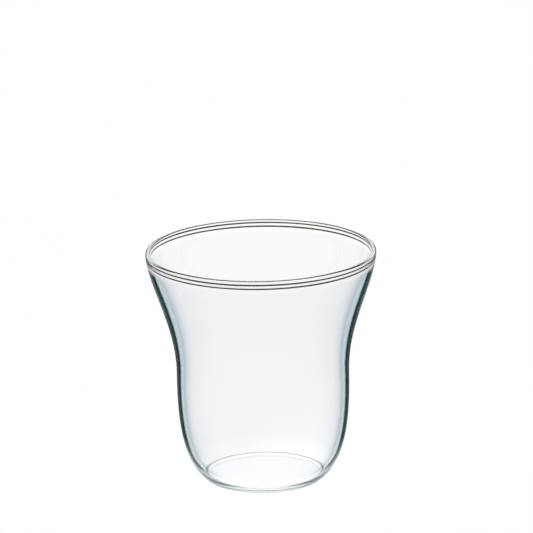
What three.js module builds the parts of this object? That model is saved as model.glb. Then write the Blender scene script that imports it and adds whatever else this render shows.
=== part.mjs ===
// Bell-shaped tea glass, blown in one piece from clear borosilicate glass: a flat foot, a round
// heel, a nearly straight waist and a mouth that flares out to a fire-polished lip. Two fine brown
// enamel lines are painted round the outside below the lip and fired on.
// Millimetres, +Z up. The origin is the centre of the foot, on the surface that the glass stands on.

import * as THREE from "three";

// Outside of the glass.
const HEIGHT = 81.45;
const RIM_DIAMETER = 79.2;
const WAIST_DIAMETER = 59.6;
const WAIST_HEIGHT = 38;
const FOOT_DIAMETER = 40.4;
const FOOT_EDGE_RADIUS = 2;

// Thickness of the glass.
const WALL = 1.4;
const LIP_THICKNESS = 1.5;
const FLOOR_THICKNESS = 1.7;
const FLOOR_EDGE_RADIUS = 3;

// The lip is melted round, and rounds over further on the outside than on the inside.
const LIP_DROP = 0.8;
const LIP_INNER_RADIUS = 0.5;

// Run of the curves. The wall leaves the foot at HEEL_DEGREES above the table, and is held upright over
// a share of the heel's height below the waist. A larger FLARE_POWER spreads the flare lower down.
const HEEL_DEGREES = 40;
const UPRIGHT_BELOW_WAIST = 0.38;
const FLARE_POWER = 1.73;

// Enamel lines, with the clear glass left above the upper one and between the two.
const LINE_NAMES = ["upper_rim_line", "lower_rim_line"];
const LINE_WIDTH = 0.55;
const LINE_THICKNESS = 0.08;
const LIP_TO_LINE = 0.225;
const LINE_GAP = 0.8;

// Fineness of the facets.
const SIDES = 64;
const HEEL_STEPS = 8;
const FLARE_STEPS = 11;
const LIP_STEPS = 4;
const EDGE_STEPS = 3;

const rimRadius = RIM_DIAMETER / 2;
const waistRadius = WAIST_DIAMETER / 2;
const footRadius = FOOT_DIAMETER / 2;
const lipHeight = HEIGHT - LIP_DROP;
const heelAngle = THREE.MathUtils.degToRad(HEEL_DEGREES);

// Points on a round edge of the profile, where x is the radius and y the height. The edge reaches across
// and up from its centre by the two lengths given.
function edgePoints(centre, across, up, from, to, steps) {
  return new THREE.EllipseCurve(centre.x, centre.y, across, up, from, to).getPoints(steps);
}

// The heel starts on a slope at the foot's corner, and comes upright at the waist.
function heelCurve(start, corner, waist) {
  const slopeEnd = corner.y + (waist - corner.x) * Math.tan(heelAngle);
  const uprightStart = THREE.MathUtils.lerp(WAIST_HEIGHT, slopeEnd, UPRIGHT_BELOW_WAIST);
  return new THREE.CubicBezierCurve(
    start,
    new THREE.Vector2(waist, slopeEnd),
    new THREE.Vector2(waist, uprightStart),
    new THREE.Vector2(waist, WAIST_HEIGHT),
  );
}

// The flare leaves the waist upright and is upright again at the rim, where the lip begins to round over.
function flarePoint(waist, rim, height) {
  const climb = (height - WAIST_HEIGHT) / (lipHeight - WAIST_HEIGHT);
  const spread = 1 - (1 - climb ** 2) ** FLARE_POWER;
  return new THREE.Vector2(THREE.MathUtils.lerp(waist, rim, spread), height);
}

// Heights in even steps above the waist, up to the lip.
const flareHeights = Array.from({ length: FLARE_STEPS }, (_, step) =>
  THREE.MathUtils.lerp(WAIST_HEIGHT, lipHeight, (step + 1) / FLARE_STEPS),
);

// One face of the wall, from the rounded corner at the bottom up to the lip.
function wallFace(corner, edgeRadius, waist, flare) {
  const inset = edgeRadius * Math.tan(heelAngle / 2);
  const centre = new THREE.Vector2(corner.x - inset, corner.y + edgeRadius);
  const down = -Math.PI / 2;
  const edge = edgePoints(centre, edgeRadius, edgeRadius, down, down + heelAngle, EDGE_STEPS);
  const heel = heelCurve(edge.at(-1), corner, waist).getPoints(HEEL_STEPS);
  return [...edge, ...heel.slice(1), ...flare];
}

function revolve(profile) {
  return new THREE.LatheGeometry(profile, SIDES).rotateX(Math.PI / 2);
}

// Each enamel line's seat on the outside of the flare: its lower and its upper edge, upper line first.
const lineSeats = LINE_NAMES.map((name, index) => {
  const top = lipHeight - LIP_TO_LINE - index * (LINE_WIDTH + LINE_GAP);
  return [top - LINE_WIDTH, top].map((height) => flarePoint(waistRadius, rimRadius, height));
});

// Outside face. Past the lowest line's edge the flare turns only at the lines' edges, so that a line
// lies on whole facets.
const lineEdges = lineSeats.toReversed().flat();
const outerFlare = flareHeights.map((height) => flarePoint(waistRadius, rimRadius, height));
const plainFlare = outerFlare.filter((point) => point.y < lineEdges[0].y);
const flareFacets = [...plainFlare, ...lineEdges, outerFlare.at(-1)];
const footCorner = new THREE.Vector2(footRadius, 0);
const outside = wallFace(footCorner, FOOT_EDGE_RADIUS, waistRadius, flareFacets);

// Inside face, one wall in from the outside. The floor's corner is where the heel's inner slope meets it.
const slopeShift = (FLOOR_THICKNESS - WALL / Math.cos(heelAngle)) / Math.tan(heelAngle);
const floorCorner = new THREE.Vector2(footRadius + slopeShift, FLOOR_THICKNESS);
const innerWaist = waistRadius - WALL;
const innerRim = rimRadius - LIP_THICKNESS;
const innerFlare = flareHeights.map((height) => flarePoint(innerWaist, innerRim, height));
const inside = wallFace(floorCorner, FLOOR_EDGE_RADIUS, innerWaist, innerFlare);

// The lip joins the two faces, over a crest nearer to the inside.
const crest = innerRim + LIP_INNER_RADIUS;
const quarter = Math.PI / 2;
const outerCentre = new THREE.Vector2(crest, lipHeight);
const outerLip = edgePoints(outerCentre, rimRadius - crest, LIP_DROP, 0, quarter, LIP_STEPS);
const innerCentre = new THREE.Vector2(crest, HEIGHT - LIP_INNER_RADIUS);
const innerLip = edgePoints(innerCentre, LIP_INNER_RADIUS, LIP_INNER_RADIUS, quarter, Math.PI, LIP_STEPS);

const clearGlass = new THREE.MeshStandardMaterial({
  color: 0xdcebe9,
  roughness: 0.03,
  metalness: 0,
  transparent: true,
  opacity: 0.35,
});
const brownEnamel = new THREE.MeshStandardMaterial({ color: 0x4b382c, roughness: 0.35, metalness: 0 });

const teaGlass = new THREE.Group();

const glassProfile = [
  new THREE.Vector2(0, 0),
  ...outside,
  ...outerLip.slice(1),
  ...innerLip.slice(1),
  ...inside.toReversed(),
  new THREE.Vector2(0, FLOOR_THICKNESS),
];
const glassBody = new THREE.Mesh(revolve(glassProfile), clearGlass);
glassBody.name = "glass_body";
teaGlass.add(glassBody);

// A line is a thin band on its seat, closed on itself.
LINE_NAMES.forEach((name, index) => {
  const [lower, upper] = lineSeats[index];
  const film = new THREE.Vector2(LINE_THICKNESS, 0);
  const band = [lower, lower.clone().add(film), upper.clone().add(film), upper, lower];
  const line = new THREE.Mesh(revolve(band), brownEnamel.clone());
  line.name = name;
  teaGlass.add(line);
});

export default teaGlass;
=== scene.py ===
import math

import bmesh
import bpy
from mathutils import Matrix, Vector


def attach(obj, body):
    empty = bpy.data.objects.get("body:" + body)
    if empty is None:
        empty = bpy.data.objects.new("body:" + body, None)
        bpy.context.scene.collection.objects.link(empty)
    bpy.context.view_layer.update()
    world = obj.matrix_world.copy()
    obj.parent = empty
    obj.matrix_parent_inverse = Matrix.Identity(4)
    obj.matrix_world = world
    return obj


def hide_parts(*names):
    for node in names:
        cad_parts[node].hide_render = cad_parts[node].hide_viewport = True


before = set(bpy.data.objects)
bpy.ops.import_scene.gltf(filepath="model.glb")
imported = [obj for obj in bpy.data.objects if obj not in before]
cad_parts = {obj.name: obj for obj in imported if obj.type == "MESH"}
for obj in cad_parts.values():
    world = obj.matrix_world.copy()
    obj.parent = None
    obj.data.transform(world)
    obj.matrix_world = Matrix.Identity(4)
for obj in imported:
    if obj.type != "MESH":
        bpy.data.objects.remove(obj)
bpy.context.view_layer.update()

# Glass body: one shell of clear borosilicate glass, blown in a mould, with a flat foot, a round heel
# and a mouth that flares. The lip is melted round in a flame. Sizes are in millimetres.
MM = 0.001
HEIGHT = 81.45
RIM_RADIUS = 39.6
WAIST_RADIUS = 29.8
WAIST_HEIGHT = 38.0
FOOT_RADIUS = 20.2
FOOT_EDGE_RADIUS = 2.0
WALL = 1.4
LIP_THICKNESS = 1.5
LIP_DROP = 0.8
LIP_INNER_RADIUS = 0.5
FLOOR_THICKNESS = 1.7
FLOOR_EDGE_RADIUS = 3.0
HEEL_ANGLE = math.radians(40)
UPRIGHT_BELOW_WAIST = 0.38
FLARE_POWER = 1.73
LIP_HEIGHT = HEIGHT - LIP_DROP
GLASS_SIDES = 288
EDGE_STEPS = 14
HEEL_STEPS = 48
FLARE_STEPS = 70
LIP_STEPS = 24
FLAT_STEPS = 6
WELD = 0.001 * MM


def mix(a, b, share):
    return a + (b - a) * share


def flare_radius(waist, rim, height):
    climb = (height - WAIST_HEIGHT) / (LIP_HEIGHT - WAIST_HEIGHT)
    return mix(waist, rim, 1 - (1 - min(climb, 1) ** 2) ** FLARE_POWER)


def bezier_point(a, b, c, d, t):
    s = 1 - t
    weights = (s**3, 3 * s * s * t, 3 * s * t * t, t**3)
    return tuple(sum(w * p[axis] for w, p in zip(weights, (a, b, c, d))) for axis in (0, 1))


def wall_face(corner, edge_radius, waist, rim):
    arc_start = corner[0] - edge_radius * math.tan(HEEL_ANGLE / 2)
    arc_middle = corner[1] + edge_radius
    turns = [HEEL_ANGLE * i / EDGE_STEPS for i in range(EDGE_STEPS + 1)]
    edge = [(arc_start + edge_radius * math.sin(t), arc_middle - edge_radius * math.cos(t)) for t in turns]
    slope_end = corner[1] + (waist - corner[0]) * math.tan(HEEL_ANGLE)
    upright_start = mix(WAIST_HEIGHT, slope_end, UPRIGHT_BELOW_WAIST)
    pull = (edge[-1], (waist, slope_end), (waist, upright_start), (waist, WAIST_HEIGHT))
    heel = [bezier_point(*pull, i / HEEL_STEPS) for i in range(1, HEEL_STEPS + 1)]
    heights = [mix(WAIST_HEIGHT, LIP_HEIGHT, (i + 1) / FLARE_STEPS) for i in range(FLARE_STEPS)]
    return edge + heel + [(flare_radius(waist, rim, z), z) for z in heights]


def flat_face(radius, height):
    return [(radius * i / FLAT_STEPS, height) for i in range(FLAT_STEPS)]


def loft(name, profile_at, sides):
    """A mesh from one closed profile of (radius, height) points for each turn about the axis."""
    mesh = bmesh.new()
    turns = [2 * math.pi * k / sides for k in range(sides)]
    columns = [profile_at(turn) for turn in turns]
    rings = []
    for points in zip(*columns):
        if points[0][0] == 0:
            rings.append([mesh.verts.new((0, 0, points[0][1] * MM))] * sides)
        else:
            places = [(r * math.cos(a), r * math.sin(a), z) for (r, z), a in zip(points, turns)]
            rings.append([mesh.verts.new(Vector(place) * MM) for place in places])
    for low, high in zip(rings, rings[1:]):
        for k in range(sides):
            j = (k + 1) % sides
            corners = dict.fromkeys((low[k], low[j], high[j], high[k]))
            mesh.faces.new(corners)
    bmesh.ops.remove_doubles(mesh, verts=mesh.verts, dist=WELD)
    bmesh.ops.recalc_face_normals(mesh, faces=mesh.faces)
    data = bpy.data.meshes.new(name)
    mesh.to_mesh(data)
    mesh.free()
    data.shade_smooth()
    piece = bpy.data.objects.new(name, data)
    bpy.context.scene.collection.objects.link(piece)
    return piece


outside = wall_face((FOOT_RADIUS, 0.0), FOOT_EDGE_RADIUS, WAIST_RADIUS, RIM_RADIUS)
slope_shift = (FLOOR_THICKNESS - WALL / math.cos(HEEL_ANGLE)) / math.tan(HEEL_ANGLE)
floor_corner = (FOOT_RADIUS + slope_shift, FLOOR_THICKNESS)
inner_rim = RIM_RADIUS - LIP_THICKNESS
inside = wall_face(floor_corner, FLOOR_EDGE_RADIUS, WAIST_RADIUS - WALL, inner_rim)
crest = inner_rim + LIP_INNER_RADIUS
lip_turns = [math.pi / 2 * (i + 1) / LIP_STEPS for i in range(LIP_STEPS)]
lip = [(mix(crest, RIM_RADIUS, math.cos(t)), LIP_HEIGHT + LIP_DROP * math.sin(t)) for t in lip_turns]
inner_turn = HEIGHT - LIP_INNER_RADIUS
lip += [(mix(crest, inner_rim, math.sin(t)), mix(inner_turn, HEIGHT, math.cos(t))) for t in lip_turns]
outer_half = flat_face(outside[0][0], 0.0) + outside
inner_half = inside[::-1] + flat_face(inside[0][0], FLOOR_THICKNESS)[::-1]
glass_profile = outer_half + lip + inner_half
glass = loft("clear_glass_shell", lambda turn: glass_profile, GLASS_SIDES)


def srgb(value):
    parts = [int(value[i:i + 2], 16) / 255 for i in (1, 3, 5)]
    linear = [c / 12.92 if c <= 0.04045 else ((c + 0.055) / 1.055) ** 2.4 for c in parts]
    return (*linear, 1.0)


def add_node(tree, kind, inputs=None, **settings):
    made = tree.nodes.new(kind)
    for name, value in settings.items():
        setattr(made, name, value)
    for name, value in (inputs or {}).items():
        if isinstance(value, bpy.types.NodeSocket):
            tree.links.new(value, made.inputs[name])
        else:
            made.inputs[name].default_value = value
    return made


def new_material(name):
    material = bpy.data.materials.new(name)
    material.use_nodes = True
    material.node_tree.nodes.clear()
    return material


# Clear borosilicate glass. Seen flat on it is almost invisible. Towards the outline, where the wall is seen
# edge on, its colour
# holds painted shade: first a cool grey haze, then a bright thread and a dark teal band one wall wide.
WHITE = srgb("#ffffff")
GLASS_IOR = 1.473
GLASS_TEAL = "#8fc7c0"
GLASS_TEAL_PER_METRE = 6.0
MIRROR_TINT = "#c4c4c4"
SHADOW_TINT = "#f7f9f9"

# Share of the mirror image that is left on the outer skin, as if seen through a polarising filter, so that
# the white room doesn't veil the painted dark edges. Between two heights it comes back whole towards the
# foot.
MIRROR_KEPT = 0.06
MIRROR_FADE = (16.0, 4.0)

# Painted shade of the wall, set in its colour by how far it turns from the eye, from 0 for flat on to 1 for
# edge on.
WALL_PAINTED_SHADE_TONES = {
    0.27: "#f7f7f8",
    0.36: "#f3f4f7",
    0.46: "#edeff5",
    0.54: "#d4dfe6",
    0.61: "#a2aebf",
    0.655: "#bad6e2",
    0.685: "#c3e4eb",
    0.73: "#000807",
    0.80: "#000c0a",
    0.84: "#192f2e",
    0.89: "#445a57",
    0.98: "#bac8c8",
}
# Painted shade of the heel, by the same turn from the eye.
HEEL_PAINTED_SHADE_TONES = {0.0: "#ffffff", 0.72: "#fcfdfd", 0.80: "#d1dfe6", 0.88: "#b0c1cc", 1.0: "#c8d6dd"}

# A wall that turns sideways from the eye mirrors its own inside and goes dark; here that dark is painted
# shade. Seen from high above it turns away lengthwise, light passes it, and its painted shade stops at a
# limit. The limit holds where the run round the wall turns from the eye by the first of two turns or more,
# and is gone at the second.
SIDEWAYS_TURN = (0.55, 0.25)
STEEP_TURN_LIMIT = 0.725

# Heights between which the painted shade comes in. The wall's painted shade stops below the lip, and shows
# faintly on the inside of the mouth. Towards the foot the heel's own painted shade takes over, and its curve
# turns from the eye sooner.
WALL_PAINTED_SHADE_FADE = (78.2, 76.7)
MOUTH_PAINTED_SHADE_FADE = (50.0, 72.0)
MOUTH_PAINTED_SHADE_SHARE = 0.3
HEEL_PAINTED_SHADE_FADE = (7.2, 4.6)
HEEL_TURN_FADE = (11.0, 4.0)
HEEL_TURN = 1.2

# Dark threads of painted shade at the floor's corner and on the lip, as spans of radius. Each shows at its
# own turn from the eye, given as the turn where it is still clear and the turn where it is dark.
PAINTED_THREAD_SHADE = "#2a3434"
FLOOR_CORNER_TOP = 3.0
FLOOR_THREAD = (20.15, 20.5)
FLOOR_THREAD_SHARE = 0.95
FLOOR_EDGE = (20.1, 20.8)
LIP_CREST = (38.2, 39.3)
LIP_CREST_LOW = 81.05
LIP_TOP = (38.45, 39.15)
LIP_SIDES_LOW = 80.5
THREAD_TURNS = {"floor_edge": (0.45, 0.65), "lip_crest": (0.66, 0.58), "lip_sides": (0.74, 0.78)}

# Tones of light caught between the faces of the glass, by its run from one face to the next; the dark ones
# are painted shade.
CAUGHT_MIRRORINGS = 1.5
CAUGHT_BRIGHT = "#fbfdfd"
CAUGHT_HEEL_SHADE = "#4f636b"
CAUGHT_LIP_SHADE = "#000000"
HEEL_RUN = 4.4 * MM
LIP_RUN = 0.6 * MM
LIP_RUN_LOW = 60.0


def within(value, span):
    return span[0] <= value <= span[1]


def fade(height, span):
    start, end = span
    return min(1.0, max(0.0, (height - start) / (end - start)))


def mark_glass(name, value_at):
    """Stores a value on the points of the glass, by side of the wall, radius and height."""
    values = []
    for index, (radius, height) in enumerate(glass_profile):
        value = value_at(index < len(outer_half), radius, height)
        values += [value] * (1 if radius == 0 else GLASS_SIDES)
    glass.data.attributes.new(name, "FLOAT", "POINT").data.foreach_set("value", values)


def wall_painted_shade_share(outer, radius, height):
    share = 1.0 if outer else MOUTH_PAINTED_SHADE_SHARE * fade(height, MOUTH_PAINTED_SHADE_FADE)
    return share * fade(height, WALL_PAINTED_SHADE_FADE)


def on_floor_corner(outer, height):
    return not outer and height < FLOOR_CORNER_TOP


def floor_thread_share(outer, radius, height):
    return FLOOR_THREAD_SHARE * (on_floor_corner(outer, height) and within(radius, FLOOR_THREAD))


def floor_edge_share(outer, radius, height):
    return float(on_floor_corner(outer, height) and within(radius, FLOOR_EDGE))


def lip_crest_share(outer, radius, height):
    return float(height > LIP_CREST_LOW and within(radius, LIP_CREST))


def lip_sides_share(outer, radius, height):
    return float(height > LIP_SIDES_LOW and not within(radius, LIP_TOP))


def mirror_kept_share(outer, radius, height):
    over_lip = height > LIP_SIDES_LOW and radius >= crest
    return mix(MIRROR_KEPT, 1.0, fade(height, MIRROR_FADE)) if outer or over_lip else 1.0


# Values on the glass points; most of them say where painted shade shows.
GLASS_ZONES = {
    "wall_painted_shade": wall_painted_shade_share,
    "heel_turn": lambda outer, radius, height: mix(1.0, HEEL_TURN, fade(height, HEEL_TURN_FADE)),
    "heel_painted_shade": lambda outer, radius, height: fade(height, HEEL_PAINTED_SHADE_FADE),
    "floor_thread": floor_thread_share,
    "floor_edge": floor_edge_share,
    "lip_crest": lip_crest_share,
    "lip_sides": lip_sides_share,
    "near_lip": lambda outer, radius, height: float(height > LIP_RUN_LOW),
    "mirror_kept": mirror_kept_share,
}
for zone_name, value_at in GLASS_ZONES.items():
    mark_glass(zone_name, value_at)

clear_glass = new_material("clear_borosilicate_glass")
tree = clear_glass.node_tree
zones = {
    zone_name: add_node(tree, "ShaderNodeAttribute", attribute_name=zone_name).outputs["Fac"]
    for zone_name in GLASS_ZONES
}
eye_turn = add_node(tree, "ShaderNodeLayerWeight", {"Blend": 0.5}).outputs["Facing"]
wall_turn = add_node(tree, "ShaderNodeMath", {0: zones["heel_turn"], 1: eye_turn}, operation="MULTIPLY")
round_wall = add_node(tree, "ShaderNodeTangent", direction_type="RADIAL", axis="Z")
along_wall = add_node(tree, "ShaderNodeLayerWeight", {"Blend": 0.5, "Normal": round_wall.outputs[0]})
turn_limit = add_node(
    tree,
    "ShaderNodeMapRange",
    {
        "Value": along_wall.outputs["Facing"],
        "From Min": SIDEWAYS_TURN[0],
        "From Max": SIDEWAYS_TURN[1],
        "To Min": STEEP_TURN_LIMIT,
        "To Max": 1.0,
    },
)
shown_turn = add_node(
    tree, "ShaderNodeMath", {0: wall_turn.outputs[0], 1: turn_limit.outputs[0]}, operation="MINIMUM"
)
# Ramps of painted shade, by how far the wall turns from the eye.
wall_shade_ramp = add_node(tree, "ShaderNodeValToRGB", {"Fac": shown_turn.outputs[0]})
heel_shade_ramp = add_node(tree, "ShaderNodeValToRGB", {"Fac": wall_turn.outputs[0]})
for ramp, tones in ((wall_shade_ramp, WALL_PAINTED_SHADE_TONES), (heel_shade_ramp, HEEL_PAINTED_SHADE_TONES)):
    stops = ramp.color_ramp.elements
    while len(stops) < len(tones):
        stops.new(1.0)
    for stop, place in zip(stops, tones):
        stop.position = place
    for stop, tone in zip(stops, tones.values()):
        stop.color = srgb(tone)
turned_painted_shade = add_node(
    tree,
    "ShaderNodeMix",
    {0: zones["heel_painted_shade"], 6: wall_shade_ramp.outputs["Color"], 7: heel_shade_ramp.outputs["Color"]},
    data_type="RGBA",
)
wall_painted_shade = add_node(
    tree,
    "ShaderNodeMix",
    {0: zones["wall_painted_shade"], 6: WHITE, 7: turned_painted_shade.outputs[2]},
    data_type="RGBA",
)
# Where the dark threads of painted shade show, by the turn from the eye.
painted_thread_share = zones["floor_thread"]
for zone_name, (clear_turn, dark_turn) in THREAD_TURNS.items():
    thread_seen = add_node(
        tree,
        "ShaderNodeMapRange",
        {
            "Value": eye_turn,
            "From Min": clear_turn,
            "From Max": dark_turn,
            "To Min": 0.0,
            "To Max": zones[zone_name],
        },
    )
    darkest = add_node(
        tree, "ShaderNodeMath", {0: painted_thread_share, 1: thread_seen.outputs[0]}, operation="MAXIMUM"
    )
    painted_thread_share = darkest.outputs[0]
painted_glass_shade = add_node(
    tree,
    "ShaderNodeMix",
    {0: painted_thread_share, 6: wall_painted_shade.outputs[2], 7: srgb(PAINTED_THREAD_SHADE)},
    data_type="RGBA",
)
leaving_glass = add_node(
    tree,
    "ShaderNodeBsdfPrincipled",
    {
        "Base Color": painted_glass_shade.outputs[2],
        "Roughness": 0.0,
        "IOR": GLASS_IOR,
        "Transmission Weight": 1.0,
        "Specular Tint": srgb(MIRROR_TINT),
    },
)

# Light that enters the glass is bent as light that leaves it is, but its mirror image can be held weak.
flat_mirror = ((GLASS_IOR - 1) / (GLASS_IOR + 1)) ** 2
clear_mirror = add_node(tree, "ShaderNodeFresnel", {"IOR": GLASS_IOR})
tinted_mirror = add_node(
    tree,
    "ShaderNodeMapRange",
    {
        "Value": clear_mirror.outputs[0],
        "From Min": flat_mirror,
        "To Min": flat_mirror * srgb(MIRROR_TINT)[0],
    },
)
# Entering light is tinted by the square root of the painted shade.
entry_painted_shade = add_node(tree, "ShaderNodeGamma", {"Color": painted_glass_shade.outputs[2], "Gamma": 0.5})
bent_light = add_node(
    tree, "ShaderNodeBsdfRefraction", {"Color": entry_painted_shade.outputs[0], "Roughness": 0.0, "IOR": GLASS_IOR}
)
mirrored_light = add_node(tree, "ShaderNodeBsdfGlossy", {"Color": zones["mirror_kept"], "Roughness": 0.0})
entering_glass = add_node(
    tree,
    "ShaderNodeMixShader",
    {0: tinted_mirror.outputs[0], 1: bent_light.outputs[0], 2: mirrored_light.outputs[0]},
)
face = add_node(tree, "ShaderNodeNewGeometry")
glass_shader = add_node(
    tree,
    "ShaderNodeMixShader",
    {0: face.outputs["Backfacing"], 1: entering_glass.outputs[0], 2: leaving_glass.outputs[0]},
)
glass_depth = add_node(
    tree, "ShaderNodeVolumeAbsorption", {"Color": srgb(GLASS_TEAL), "Density": GLASS_TEAL_PER_METRE}
)

# Caught light gets out after its second mirroring, through a painted tone. A long run in the wall leaves it
# bright;
# a short one in the heel or in the tight round of the lip is painted dark, and draws a dark thread of
# painted shade.
light_path = add_node(tree, "ShaderNodeLightPath").outputs
caught = add_node(
    tree, "ShaderNodeMath", {0: light_path["Glossy Depth"], 1: CAUGHT_MIRRORINGS}, operation="GREATER_THAN"
)
dark_run = add_node(
    tree, "ShaderNodeMapRange", {"Value": zones["near_lip"], "To Min": HEEL_RUN, "To Max": LIP_RUN}
)
run = add_node(
    tree, "ShaderNodeMath", {0: light_path["Ray Length"], 1: dark_run.outputs[0]}, operation="DIVIDE"
)
brightness = add_node(
    tree, "ShaderNodeMapRange", {"Value": run.outputs[0], "From Min": 1.0, "From Max": 2.0}
)
# Painted shade for caught light with a short run: grey-blue in the heel, black in the lip.
caught_painted_shade = add_node(
    tree,
    "ShaderNodeMix",
    {0: zones["near_lip"], 6: srgb(CAUGHT_HEEL_SHADE), 7: srgb(CAUGHT_LIP_SHADE)},
    data_type="RGBA",
)
caught_painted_tone = add_node(
    tree,
    "ShaderNodeMix",
    {0: brightness.outputs[0], 6: caught_painted_shade.outputs[2], 7: srgb(CAUGHT_BRIGHT)},
    data_type="RGBA",
)
caught_light = add_node(tree, "ShaderNodeBsdfTransparent", {"Color": caught_painted_tone.outputs[2]})
glass_seen = add_node(
    tree,
    "ShaderNodeMixShader",
    {0: caught.outputs[0], 1: glass_shader.outputs[0], 2: caught_light.outputs[0]},
)
lamp_through = add_node(tree, "ShaderNodeBsdfTransparent", {"Color": srgb(SHADOW_TINT)})
glass_surface = add_node(
    tree,
    "ShaderNodeMixShader",
    {0: light_path["Is Shadow Ray"], 1: glass_seen.outputs[0], 2: lamp_through.outputs[0]},
)
add_node(
    tree,
    "ShaderNodeOutputMaterial",
    {"Surface": glass_surface.outputs[0], "Volume": glass_depth.outputs[0]},
)
glass.data.materials.append(clear_glass)
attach(glass, "root")
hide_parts("glass_body")

# Enamel lines: two fine threads of brown vitreous enamel, laid on with a brush while the glass turns
# on a wheel, then fired. They stand a few hundredths of a millimetre proud, with soft edges.
LINE_WIDTH = 0.55
LINE_SINK = 0.03
LINE_PROUD = 0.06
LIP_TO_LINE = 0.225
LINE_GAP = 0.8
LINE_STEPS = 8
LINE_SIDES = 360
BRUSH_SWAY = 0.02
BRUSH_SWELL = 0.07
BRUSH_STARTS = (0.4, 2.1)


def line_profile(middle, start, turn):
    sway = math.sin(2 * turn + start) + 0.5 * math.sin(5 * turn + 3 * start)
    centre = middle + BRUSH_SWAY * sway
    half = LINE_WIDTH / 2 * (1 + BRUSH_SWELL * math.sin(3 * turn + 2 * start))
    across = [2 * i / LINE_STEPS - 1 for i in range(LINE_STEPS + 1)]
    seats = [(flare_radius(WAIST_RADIUS, RIM_RADIUS, centre + half * s), centre + half * s) for s in across]
    proud = [(r + LINE_PROUD * math.sqrt(max(0.0, 1 - s * s)), z) for (r, z), s in zip(seats, across)]
    sunk = [(r - LINE_SINK, z) for r, z in seats]
    return sunk[:1] + proud + sunk[::-1]


# Brown vitreous enamel. A dark, warm brown with a dull gloss, a little paler where the brush left it thin.
ENAMEL_THICK = "#3e3029"
ENAMEL_THIN = "#584639"
ENAMEL_ROUGHNESS = 0.35
ENAMEL_IOR = 1.52
ENAMEL_GLOSS = 0.1
BRUSH_MARK = 2.5 * MM
brown_enamel = new_material("brown_vitreous_enamel")
tree = brown_enamel.node_tree
where = add_node(tree, "ShaderNodeTexCoord")
brush_marks = add_node(
    tree, "ShaderNodeTexNoise", {"Vector": where.outputs["Object"], "Scale": 1 / BRUSH_MARK, "Detail": 3.0}
)
enamel_tone = add_node(tree, "ShaderNodeValToRGB", {"Fac": brush_marks.outputs["Fac"]})
thick, thin = enamel_tone.color_ramp.elements
thick.position = 0.35
thick.color = srgb(ENAMEL_THICK)
thin.position = 0.65
thin.color = srgb(ENAMEL_THIN)
enamel_shader = add_node(
    tree,
    "ShaderNodeBsdfPrincipled",
    {
        "Base Color": enamel_tone.outputs["Color"],
        "Roughness": ENAMEL_ROUGHNESS,
        "IOR": ENAMEL_IOR,
        "Specular IOR Level": ENAMEL_GLOSS,
    },
)
add_node(tree, "ShaderNodeOutputMaterial", {"Surface": enamel_shader.outputs[0]})

middle = LIP_HEIGHT - LIP_TO_LINE - LINE_WIDTH / 2
for place, start in zip(("upper", "lower"), BRUSH_STARTS):
    thread = loft(f"{place}_enamel_thread", lambda turn: line_profile(middle, start, turn), LINE_SIDES)
    thread.data.materials.append(brown_enamel)
    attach(thread, "root")
    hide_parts(f"{place}_rim_line")
    middle -= LINE_WIDTH + LINE_GAP

# Camera: a long lens above the rim, looking down by about 16 degrees and rolled by about one. Its places
# are in metres.
EYE = Vector((0.0, -1.617, 0.5426))
TARGET = Vector((0.00187, 0.0, 0.07534))
ROLL = math.radians(-1.031)
FOCAL_PIXELS = 4900.6
PICTURE_PIXELS = 533
SENSOR = 36.0
forward = (TARGET - EYE).normalized()
level = forward.cross(Vector((0, 0, 1))).normalized()
upright = level.cross(forward)
right = level * math.cos(ROLL) + upright * math.sin(ROLL)
above = upright * math.cos(ROLL) - level * math.sin(ROLL)
lens = bpy.data.cameras.new("camera")
lens.sensor_width = SENSOR
lens.lens = FOCAL_PIXELS / PICTURE_PIXELS * SENSOR
lens.clip_start = 0.05
lens.clip_end = 50
camera = bpy.data.objects.new("camera", lens)
bpy.context.scene.collection.objects.link(camera)
turned = Matrix((right, above, -forward)).transposed()
camera.matrix_world = Matrix.Translation(EYE) @ turned.to_4x4()
bpy.context.scene.camera = camera
bpy.context.scene.view_settings.view_transform = "Standard"

# Surroundings: an evenly lit white room, which the eye sees white, also through the glass and in its mirror
# images.
ROOM_LIGHT = 0.4


def seen_share(tree):
    """Which rays see the white ground: those of the eye, straight, mirrored or through the glass."""
    path = add_node(tree, "ShaderNodeLightPath").outputs
    by_glass = add_node(
        tree,
        "ShaderNodeMath",
        {0: path["Is Glossy Ray"], 1: path["Is Transmission Ray"]},
        operation="MAXIMUM",
    )
    seen = add_node(
        tree, "ShaderNodeMath", {0: path["Is Camera Ray"], 1: by_glass.outputs[0]}, operation="MAXIMUM"
    )
    return seen.outputs[0]


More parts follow.
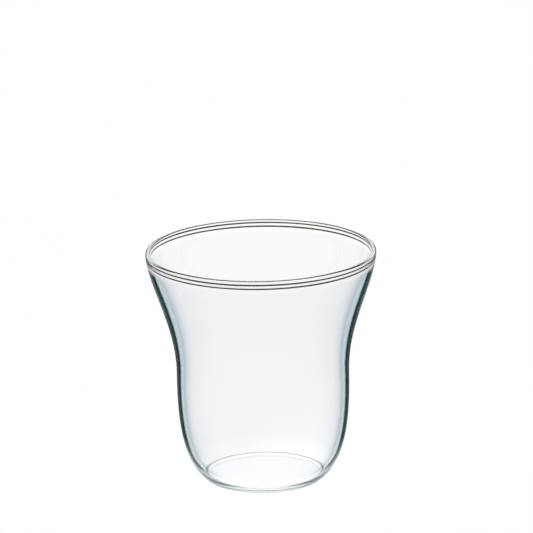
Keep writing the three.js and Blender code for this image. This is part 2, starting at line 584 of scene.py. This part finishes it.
room = bpy.data.worlds.new("white_room")
room.use_nodes = True
bpy.context.scene.world = room
tree = room.node_tree
tree.nodes.clear()
room_soft = add_node(tree, "ShaderNodeBackground", {"Strength": ROOM_LIGHT, "Color": WHITE})
room_white = add_node(tree, "ShaderNodeBackground", {"Strength": 1.0, "Color": WHITE})
room_all = add_node(
    tree, "ShaderNodeMixShader", {0: seen_share(tree), 1: room_soft.outputs[0], 2: room_white.outputs[0]}
)
add_node(tree, "ShaderNodeOutputWorld", {"Surface": room_all.outputs[0]})

# Lamp: one wide, soft light high up on the left, in front of the glass.
LAMP_LIGHT = 2.4
LAMP_SPREAD = math.radians(40)
LAMP_TILT = (math.radians(28), math.radians(-22), 0.0)
lamp_data = bpy.data.lights.new("soft_lamp", "SUN")
lamp_data.energy = LAMP_LIGHT
lamp_data.angle = LAMP_SPREAD
lamp_data.cycles.use_multiple_importance_sampling = False
lamp = bpy.data.objects.new("soft_lamp", lamp_data)
lamp.rotation_euler = LAMP_TILT
bpy.context.scene.collection.objects.link(lamp)

# Floor: a wide sheet of white card that runs out of the picture and keeps the glass's soft shadow.
FLOOR_SIZE = 6.0
FLOOR_DROP = 0.05 * MM
CARD_WHITE = "#f9f9f9"
CARD_GLOW = 0.9
bpy.ops.mesh.primitive_plane_add(size=FLOOR_SIZE, location=(0, 0, -FLOOR_DROP))
floor = bpy.context.object
floor.name = "white_card_floor"
white_card = new_material("white_card")
tree = white_card.node_tree
card_share = add_node(tree, "ShaderNodeMath", {0: seen_share(tree), 1: CARD_GLOW}, operation="MULTIPLY")
card_white = add_node(tree, "ShaderNodeEmission", {"Strength": 1.0, "Color": WHITE})
card_paper = add_node(tree, "ShaderNodeBsdfDiffuse", {"Color": srgb(CARD_WHITE)})
card_all = add_node(
    tree,
    "ShaderNodeMixShader",
    {0: card_share.outputs[0], 1: card_paper.outputs[0], 2: card_white.outputs[0]},
)
add_node(tree, "ShaderNodeOutputMaterial", {"Surface": card_all.outputs[0]})
floor.data.materials.append(white_card)
